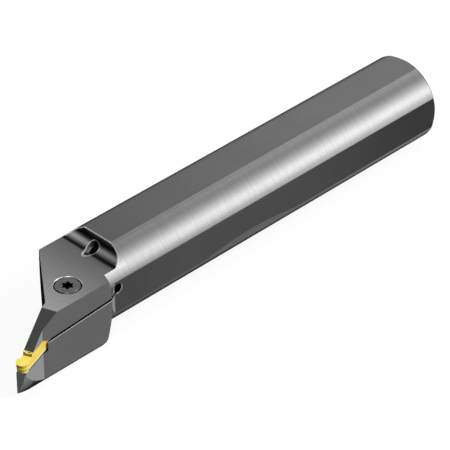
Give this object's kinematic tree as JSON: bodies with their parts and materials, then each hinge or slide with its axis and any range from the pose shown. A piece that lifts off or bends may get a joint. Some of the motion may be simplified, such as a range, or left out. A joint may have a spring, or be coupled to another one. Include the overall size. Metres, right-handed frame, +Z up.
{
  "type": "boring bar",
  "caption": "Cylindrical-shank boring bar with flats and a slanted head whose split jaw holds a double-ended round-nose insert under a clamp screw, with through coolant.",
  "frame": {"origin": "centre of the rear face on the shank axis, at the mouth of the coolant inlet", "axes": "+X along the shank out of the rear face, so the cutting end points along -X; +Z up, square to the insert's cutting face; the insert cuts towards -Y"},
  "size_m": [0.2538, 0.0459, 0.0385],
  "materials": {
    "bar_steel": "satin nickel-grey hardened steel, finely ground shank, milled head",
    "insert_coating": "yellow titanium nitride coating on pressed carbide",
    "screw_steel": "dark oiled steel, turned head"
  },
  "bodies": {
    "bar": {"bar_body": "bar_steel", "cutting_insert": "insert_coating"},
    "screw": {"clamp_screw": "screw_steel"}
  },
  "joints": [
    {"name": "clamp_screw_turn", "type": "hinge", "parent": "bar", "child": "screw", "pos_m": [-0.2148, -0.01045, 0.0066], "axis": [0, 0, 1], "range_deg": [0, 360]}
  ]
}
